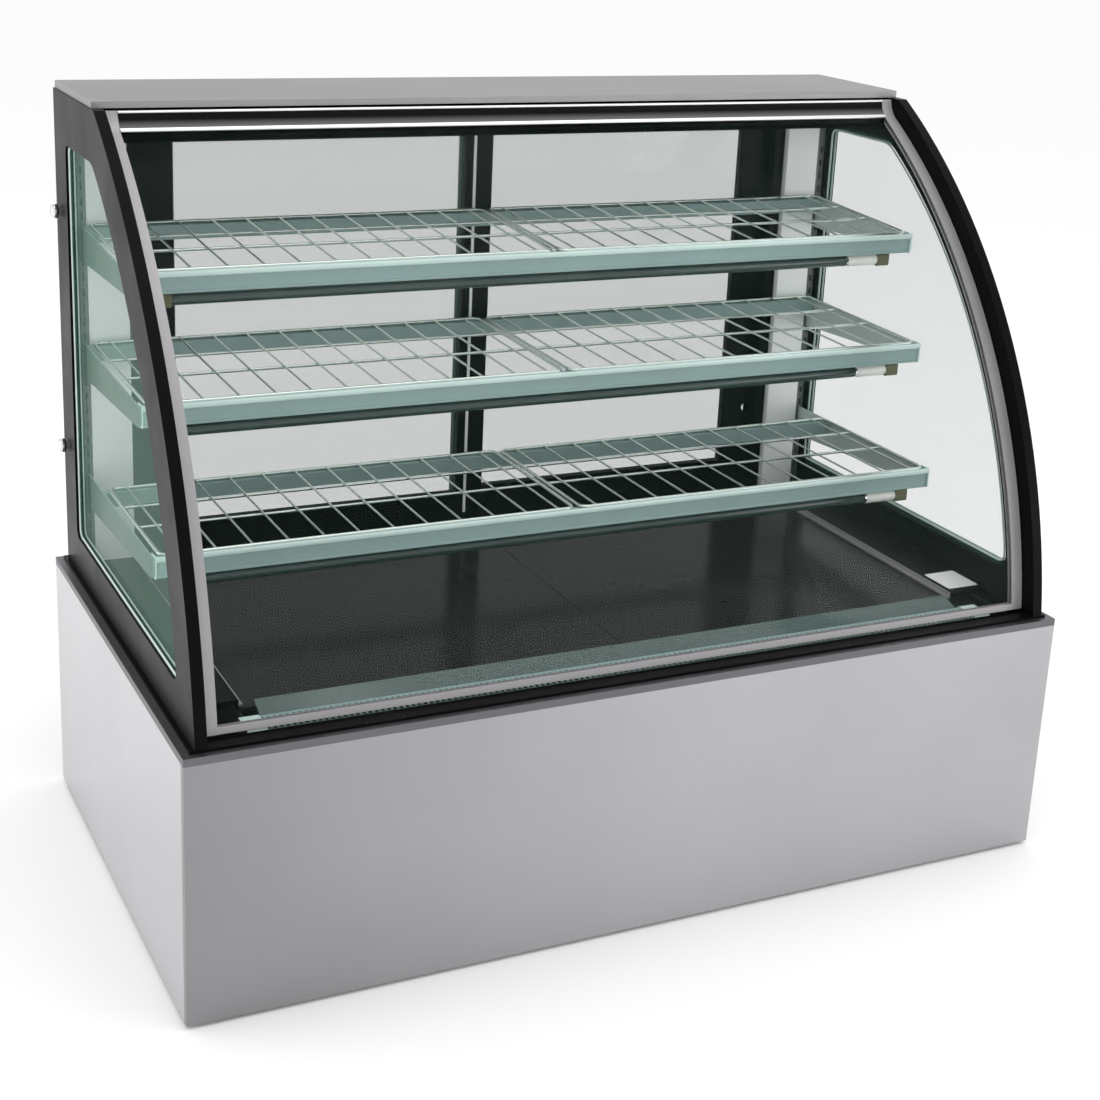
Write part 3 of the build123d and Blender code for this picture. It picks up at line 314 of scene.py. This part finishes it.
finish = {
    "stainless": steel_front, "cap_steel": steel_cap, "rim_steel": steel_rim, "jamb": steel_jamb,
    "galvanised": zinc, "frame_black": frame_paint_shaded, "trim_black": gloss_black, "trim_silver": silver,
    "glass_clear": front_pane, "glass_side": side_pane, "glass_rear": rear_pane, "glass_lip": lip_pane,
    "deck_glass": deck_black, "shelf_rail": rail_paint_shaded, "wire": wire_metal, "upright": upright_paint,
    "lamp": tube_glass, "chrome": chrome, "rubber": rubber, "black_plastic": plastic,
    "red_plastic": red_lens, "green_plastic": green_lens,
}
for part in frame["record"]["subparts"]:
    for material_slot in nodes[part["node"]].material_slots:
        material_slot.material = finish[part["material_slot"]]
# the base sides take the lighter copy of the steel, with its painted light
for side_word in ("left", "right"):
    for material_slot in nodes[f"base_side_{side_word}"].material_slots:
        material_slot.material = steel_side_lit


# ---- mesh helpers ---------------------------------------------------------------------------
def make_object(name, verts, faces, mats, face_mats=None, smooth=True, body="cabinet", slot_name=None):
    mesh = bpy.data.meshes.new(name)
    mesh.from_pydata([tuple(v) for v in verts], [], faces)
    mesh.validate()
    for mat in mats:
        mesh.materials.append(mat)
    for i, face in enumerate(mesh.polygons):
        face.use_smooth = smooth
        if face_mats:
            face.material_index = face_mats[i]
    mesh.update()
    piece = bpy.data.objects.new(name, mesh)
    bpy.context.scene.collection.objects.link(piece)
    if smooth:
        bpy.context.view_layer.objects.active = piece
        piece.select_set(True)
        bpy.ops.object.shade_smooth_by_angle(angle=radians(35))
        piece.select_set(False)
    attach(piece, body)
    return piece


def sweep(name, section, places, mats, band_mats=None, closed=False, **rest):
    """A section of (u, v) points carried along places, each (point, u direction, v direction)."""
    count = len(section)
    verts = [p + u * a + v * b for p, u, v in places for a, b in section]
    faces, face_mats = [], []
    rings = len(places)
    for r in range(rings if closed else rings - 1):
        here, there = r * count, (r + 1) % rings * count
        for i in range(count):
            j = (i + 1) % count
            faces.append((here + i, here + j, there + j, there + i))
            face_mats.append(band_mats[i] if band_mats else 0)
    if not closed:
        faces.append(tuple(reversed(range(count))))
        faces.append(tuple(range((rings - 1) * count, rings * count)))
        face_mats += [0, 0]
    return make_object(name, verts, faces, mats, face_mats, **rest)


def along_x(point, x_pair, u=to_back, v=to_top):
    """Two places for a bar along X through a point."""
    return [(point + to_right * x, u, v) for x in x_pair]


def lathe(name, profile, start, axis, mats, band_mats=None, sides=32, **rest):
    """A turned piece: profile is (distance along axis, radius), closed at both ends."""
    axis = Vector(axis).normalized()
    u = axis.orthogonal().normalized()
    v = axis.cross(u)
    verts, faces, face_mats = [], [], []
    for along, radius in profile:
        for i in range(sides):
            turn = 2 * pi * i / sides
            verts.append(Vector(start) + axis * along + (u * cos(turn) + v * sin(turn)) * radius)
    for r in range(len(profile) - 1):
        for i in range(sides):
            j = (i + 1) % sides
            faces.append((r * sides + i, r * sides + j, (r + 1) * sides + j, (r + 1) * sides + i))
            face_mats.append(band_mats[r] if band_mats else 0)
    faces.append(tuple(reversed(range(sides))))
    faces.append(tuple(range((len(profile) - 1) * sides, len(profile) * sides)))
    face_mats += [face_mats[0], face_mats[-1]]
    return make_object(name, verts, faces, mats, face_mats, **rest)


def rounded_box(half_u, half_v, r, steps=4):
    """Outline of a rectangle with round corners, anticlockwise."""
    outline = []
    for corner, (su, sv) in enumerate(((1, 1), (-1, 1), (-1, -1), (1, -1))):
        for i in range(steps + 1):
            turn = pi / 2 * (corner + i / steps)
            outline.append((su * (half_u - r) + r * cos(turn), sv * (half_v - r) + r * sin(turn)))
    return outline


# ---- top trim of the front glass ------------------------------------------------------------
trim_lo, trim_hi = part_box("front_trim_top")
trim_run = 0.016             # height of the profile along the front curve
trim_back = glass_inset + glass_t + trim_proud
bead_r, hollow_depth = 0.0021, 0.0034
plain_band, bead_band, hollow_band = 0, 1, 2


def half_round(centre, along, out, steps=8):
    """Points of a bead's outer half, from its lower end to its upper one."""
    turns = [pi * i / steps for i in range(steps + 1)]
    return [centre - along * bead_r * cos(turn) + out * bead_r * sin(turn) for turn in turns]


def top_trim(hollow_steps=10):
    """Pull profile: a bright bead at its nose and at its foot, a hollow band between with painted shade from
    grey to black, and its back.
    """
    top_low = curve_run - trim_run
    foot = Vector(on_curve(top_low, glass_inset - trim_proud))
    nose = Vector((cap_lo.y - 0.009, frame_hi.z - 0.003))
    along = (nose - foot).normalized()
    out = Vector((-along.y, along.x))

    low_bead = half_round(foot + along * bead_r, along, out)
    band_low, band_high = foot + along * 2 * bead_r, nose - along * 2 * bead_r
    shares = [i / hollow_steps for i in range(1, hollow_steps)]
    hollow = [band_low.lerp(band_high, share) - out * hollow_depth * sin(pi * share) for share in shares]
    high_bead = half_round(nose - along * bead_r, along, out)
    rear_y = cap_lo.y - 0.003
    back = [(rear_y, nose.y), (rear_y, nose.y - 0.011), on_curve(top_low + 2 * trim_run, trim_back),
            on_curve(top_low, trim_back)]

    outline, bands = [], []
    for points, band in ((low_bead, bead_band), (hollow, hollow_band), (high_bead, bead_band),
                         (back, plain_band)):
        outline += [tuple(Vector(point)) for point in points]
        bands += [band] * len(points)
    return outline, bands


section, bands = top_trim()
# hollow of the pull with painted shade, graded over the profile's height
pull_hollow_shaded = pull_shade_ramp(min(p[1] for p in section), max(p[1] for p in section))
top_places = along_x(Vector((0, 0, 0)), (trim_lo.x, trim_hi.x))
trim_piece = sweep("top_pull_profile", section, top_places, [gloss_black, bright_line, pull_hollow_shaded], bands,
                   body="front_glass_unit", slot_name="trim_black")
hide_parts("front_trim_top")

# ---- shelves: lip and end plates with a painted highlight, hem, lamps -----------------------
lip_outline = [(0.0, 0.0012), (0.0005, 0.0022), (-0.0008, 0.0028), (-0.0026, 0.002), (-0.0032, 0.0),
               (-0.0030, -0.0045), (-0.0018, -0.0062), (0.0, -0.0065)]
hem_outline = [(0.0, 0.0), (-0.0016, 0.0005), (-0.0020, 0.0025), (-0.0012, 0.0042), (0.0, 0.0045)]
plate_outline = [(-0.0035, 0.003), (0.020, 0.003), (0.030, -0.024), (0.026, -rail_h - 0.001),
                 (0.0, -rail_h - 0.001), (-0.0035, -rail_h + 0.002)]
plate_in, plate_out = 0.0015, 0.0002      # end plate's faces inside and outside the rail's end
socket_run, sleeve_run = 0.024, 0.060     # lamp socket, and the white sleeve at its right end
tube_band, sleeve_band, ring_band = 0, 1, 2


def side_name(side):
    return "left" if side < 0 else "right"


def shelf_place(name):
    """The shelf's front top edge at its middle, its own directions to the back and up, and half its rail."""
    low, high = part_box(f"shelf_{name}_frame")
    turn = radians(shelf_tilt[name])
    heel_y = high.y - hook_bite
    nose = Vector((0, low.y, high.z - (heel_y - low.y) * tan(turn)))
    return nose, Vector((0, cos(turn), sin(turn))), Vector((0, -sin(turn), cos(turn))), high.x - rail_end_gap


def shelf_edge(name):
    nose, back_dir, up_dir, half = shelf_place(name)
    # lip in the lighter rail paint, a painted highlight along the rail's top edge
    sweep(f"shelf_{name}_lip", lip_outline, along_x(nose, (-half, half), back_dir, up_dir), [rail_edge_highlight],
          slot_name="shelf_rail")
    # hem in the rail paint, with its painted shade by facing
    foot = nose - up_dir * rail_h
    sweep(f"shelf_{name}_hem", hem_outline, along_x(foot, (-half, half), back_dir, up_dir), [rail_paint_shaded],
          slot_name="shelf_rail")
    # end plates in the same lighter paint, a painted highlight
    for side in (-1, 1):
        x_pair = sorted((side * (half - plate_in), side * (half + plate_out)))
        sweep(f"shelf_{name}_end_{side_name(side)}", plate_outline, along_x(nose, x_pair, back_dir, up_dir),
              [rail_edge_highlight], smooth=False, slot_name="shelf_rail")


def shelf_lamp(name):
    """Tube lamp under the shelf's nose, with a chrome ring and a white sleeve at its right end."""
    nose, back_dir, up_dir, _ = shelf_place(name)
    axis = nose + back_dir * (lamp_r + lamp_behind) - up_dir * (rail_h + lamp_drop + lamp_r)
    half = lamp_hi.x
    reach = half - socket_run
    run = 2 * reach
    sleeve = run - sleeve_run
    profile = [(0, 0.006), (0, lamp_r - 0.0008), (0.001, lamp_r),
               (sleeve - 0.004, lamp_r), (sleeve - 0.004, lamp_r - 0.0004), (sleeve, lamp_r - 0.0006),
               (sleeve + 0.001, lamp_r + 0.0002), (sleeve + 0.004, lamp_r + 0.0008),
               (run - 0.002, lamp_r + 0.0008), (run, lamp_r + 0.0006), (run, 0.006)]
    bands = [tube_band] * 3 + [ring_band] * 2 + [sleeve_band] * 5
    tube = lathe(f"lamp_{name}_tube", profile, axis - to_right * reach, (1, 0, 0),
                 [tube_glass, lamp_white, chrome], bands, slot_name="lamp")
    for side in (-1, 1):
        block = rounded_box(lamp_r + 0.0018, lamp_r + 0.0008, 0.003)
        x_pair = sorted((side * reach, side * half))
        sweep(f"lamp_{name}_socket_{side_name(side)}", block, along_x(axis, x_pair, back_dir, up_dir),
              [lamp_socket], slot_name="black_plastic")
    return tube


_, lamp_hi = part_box("shelf_lamps")
for name in shelf_tilt:
    shelf_edge(name)
lamp_tubes = [shelf_lamp(name) for name in shelf_tilt]
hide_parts("shelf_lamps")


# ---- seals round the side windows -----------------------------------------------------------
def convex_outline(node, x_at):
    """The node's outline on the plane nearest x_at, in order round its middle, as (y, z)."""
    found = {(round(v.co.y, 5), round(v.co.z, 5)) for v in nodes[node].data.vertices
             if abs(v.co.x - x_at) < 1e-4}
    mid_y = sum(p[0] for p in found) / len(found)
    mid_z = sum(p[1] for p in found) / len(found)
    return sorted(found, key=lambda p: atan2(p[1] - mid_z, p[0] - mid_y))


def ring_places(loop, x, inward):
    """Places along a closed outline on a plane of constant X, moved inward by a distance."""
    places = []
    for i, (y, z) in enumerate(loop):
        before, after = loop[i - 1], loop[(i + 1) % len(loop)]
        along = Vector((0, after[0] - before[0], after[1] - before[1])).normalized()
        inner = Vector((0, -along.z, along.y))
        places.append((Vector((x, y, z)) + inner * inward, inner, Vector((1, 0, 0))))
    return places


def window_seals(side):
    """A light seal round the side window on each of its faces."""
    node = f"side_glass_{side_name(side)}"
    low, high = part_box(node)
    out_x, in_x = (low.x, high.x) if side < 0 else (high.x, low.x)
    loop = convex_outline(node, out_x)
    for face_x, word, push in ((out_x, "outer", side), (in_x, "inner", -side)):
        seal = [(0.0, 0.0), (0.0028, 0.0), (0.0034, push * 0.001), (0.0028, push * 0.002),
                (0.0010, push * 0.0026), (0.0, push * 0.0024)]
        sweep(f"window_seal_{side_name(side)}_{word}", seal, ring_places(loop, face_x, rebate - 0.0002),
              [seal_light], closed=True, slot_name="rubber")


for side in (-1, 1):
    window_seals(side)


# ---- rear doors: gasket round each pane, silver strip on the middle stile -------------------
def door_seals(side_word, bite=0.007):
    """A gasket round the door's pane on each of its faces; the pane goes a bite into the frame."""
    low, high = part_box(f"door_{side_word}_glass")
    corners = [(low.x + bite, low.z + bite), (high.x - bite, low.z + bite),
               (high.x - bite, high.z - bite), (low.x + bite, high.z - bite)]
    seal = [(0.0, 0.0), (0.0035, 0.0), (0.003, 0.0016), (0.0, 0.0022)]
    for face_y, word, push in ((low.y, "front", -1), (high.y, "back", 1)):
        places = []
        for i, (x, z) in enumerate(corners):
            inner = Vector((1 if i in (0, 3) else -1, 0, 1 if i in (0, 1) else -1))
            places.append((Vector((x, face_y, z)), inner, to_back * push))
        sweep(f"door_seal_{side_word}_{word}", seal, places, [rubber], closed=True, smooth=False,
              body=f"door_{side_word}", slot_name="rubber")


for side_word in ("left", "right"):
    door_seals(side_word)

low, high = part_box("door_left_frame")
strip_x, strip_foot, strip_head = 0.034, 0.002, 0.012      # in from the frame's edges
strip = [(0.0, -0.0028), (-0.0012, -0.0022), (-0.0016, 0.0), (-0.0012, 0.0022), (0.0, 0.0028)]
stile = [(Vector((high.x - strip_x, low.y, z)), to_back, to_right)
         for z in (low.z + strip_foot, high.z - strip_head)]
sweep("door_left_stile_strip", strip, stile, [steel_jamb], body="door_left", slot_name="jamb")

# ---- blank label on the right end cover -----------------------------------------------------
low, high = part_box("end_covers")
label_x, label_y, label_t = high.x - 0.040, low.y + 0.052, 0.0004
plate = rounded_box(0.031, 0.036, 0.003)
places = [(Vector((label_x, label_y, high.z + lift)), to_right, to_back) for lift in (0.0, label_t)]
sweep("blank_label", plate, places, [label_white], smooth=False, slot_name="jamb")

# ---- grille end pieces ----------------------------------------------------------------------
low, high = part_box("air_grille")
block_in, block_out = 0.016, 0.014      # each side of the grille's end
block = [(0.002, 0.0), (0.050, 0.0), (0.050, 0.003), (0.046, 0.0045), (0.006, 0.0045), (0.002, 0.003)]
for side in (-1, 1):
    x_pair = sorted((side * (high.x - block_in), side * (high.x + block_out)))
    sweep(f"grille_end_{side_name(side)}", block, along_x(Vector((0, low.y, high.z)), x_pair), [rail_edge_highlight],
          smooth=False, slot_name="shelf_rail")

# ---- bezels and dial ring on the service panel ----------------------------------------------
panel_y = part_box("base_back_panel")[1].y
bezel_wide, bezel_low, bezel_high = 0.004, 0.0016, 0.0024


def bezel(node, word):
    """A rounded frame round a switch, standing on the service panel."""
    low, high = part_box(node)
    middle = Vector(((low.x + high.x) / 2, panel_y, (low.z + high.z) / 2))
    half_u, half_v = (high.x - low.x) / 2 + 0.0008, (high.z - low.z) / 2 + 0.0024
    inner = rounded_box(half_u, half_v, 0.001)
    outer = rounded_box(half_u + bezel_wide, half_v + bezel_wide, 0.003)
    rings = ((outer, 0.0), (outer, bezel_low), (inner, bezel_high), (inner, 0.0))
    verts = [middle + Vector((u, lift, v)) for ring, lift in rings for u, v in ring]
    count = len(inner)
    faces = []
    for k in range(len(rings)):
        here, there = k * count, (k + 1) % len(rings) * count
        for i in range(count):
            j = (i + 1) % count
            faces.append((here + i, here + j, there + j, there + i))
    make_object(f"{word}_bezel", verts, faces, [plastic], slot_name="black_plastic")


bezel("heat_switch", "heat")
bezel("light_switch", "light")

low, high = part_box("thermostat_knob")
switch_lo, switch_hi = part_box("heat_switch")
dial_centre = Vector(((low.x + high.x) / 2, panel_y, (switch_lo.z + switch_hi.z) / 2))
first_tick, tick_step, tick_count = -225, 30, 10      # degrees
tick_from, tick_to = 0.0235, 0.0285
tick = [(-0.0006, 0.0), (0.0006, 0.0), (0.0006, 0.0004), (-0.0006, 0.0004)]
for i in range(tick_count):
    turn = radians(first_tick + tick_step * i)
    out = Vector((cos(turn), 0, sin(turn)))
    beside = Vector((-sin(turn), 0, cos(turn)))
    places = [(dial_centre + out * r, beside, to_back) for r in (tick_from, tick_to)]
    sweep(f"dial_tick_{i}", tick, places, [plastic], smooth=False, slot_name="black_plastic")

# ---- floor, light and camera ----------------------------------------------------------------
bpy.ops.mesh.primitive_plane_add(size=80, location=(0, 0, 0))
floor = bpy.context.object
floor.name = "floor"
floor_mat, _ = shader("floor", (0.97, 0.97, 0.97), roughness=0.9, specular=0.0)
floor.data.materials.append(floor_mat)

world = bpy.data.worlds.new("studio")
bpy.context.scene.world = world
world.use_nodes = True
sky = world.node_tree.nodes["Background"]
sky.inputs["Color"].default_value = (1, 1, 1, 1)
sky.inputs["Strength"].default_value = 1.0


def softbox(name, place, target, size, power):
    light = bpy.data.lights.new(name, "AREA")
    light.shape = "RECTANGLE"
    light.size, light.size_y = size
    light.energy = power
    lamp = bpy.data.objects.new(name, light)
    lamp.location = place
    lamp.rotation_euler = (Vector(target) - Vector(place)).to_track_quat("-Z", "Y").to_euler()
    bpy.context.scene.collection.objects.link(lamp)


softbox("left_softbox", (-3.8, 1.1, 0.9), (-0.75, 0.1, 0.3), (2.6, 2.2), 40)
softbox("right_softbox", (3.6, -3.4, 0.9), (0.4, -0.4, 0.3), (2.4, 2.0), 30)
softbox("top_softbox", (0.6, -0.6, 4.4), (0, 0, 0.6), (3.5, 2.5), 40)

camera_data = bpy.data.cameras.new("camera")
camera_data.sensor_width = 36
camera_data.lens = 62.15
camera_data.shift_y = -0.091
camera = bpy.data.objects.new("camera", camera_data)
camera.location = (-1.3563, -2.7087, 1.6108)
camera.rotation_euler = (radians(72.743), radians(-2.541), radians(-25.600))
bpy.context.scene.collection.objects.link(camera)
bpy.context.scene.camera = camera
bpy.context.scene.view_settings.view_transform = "Standard"
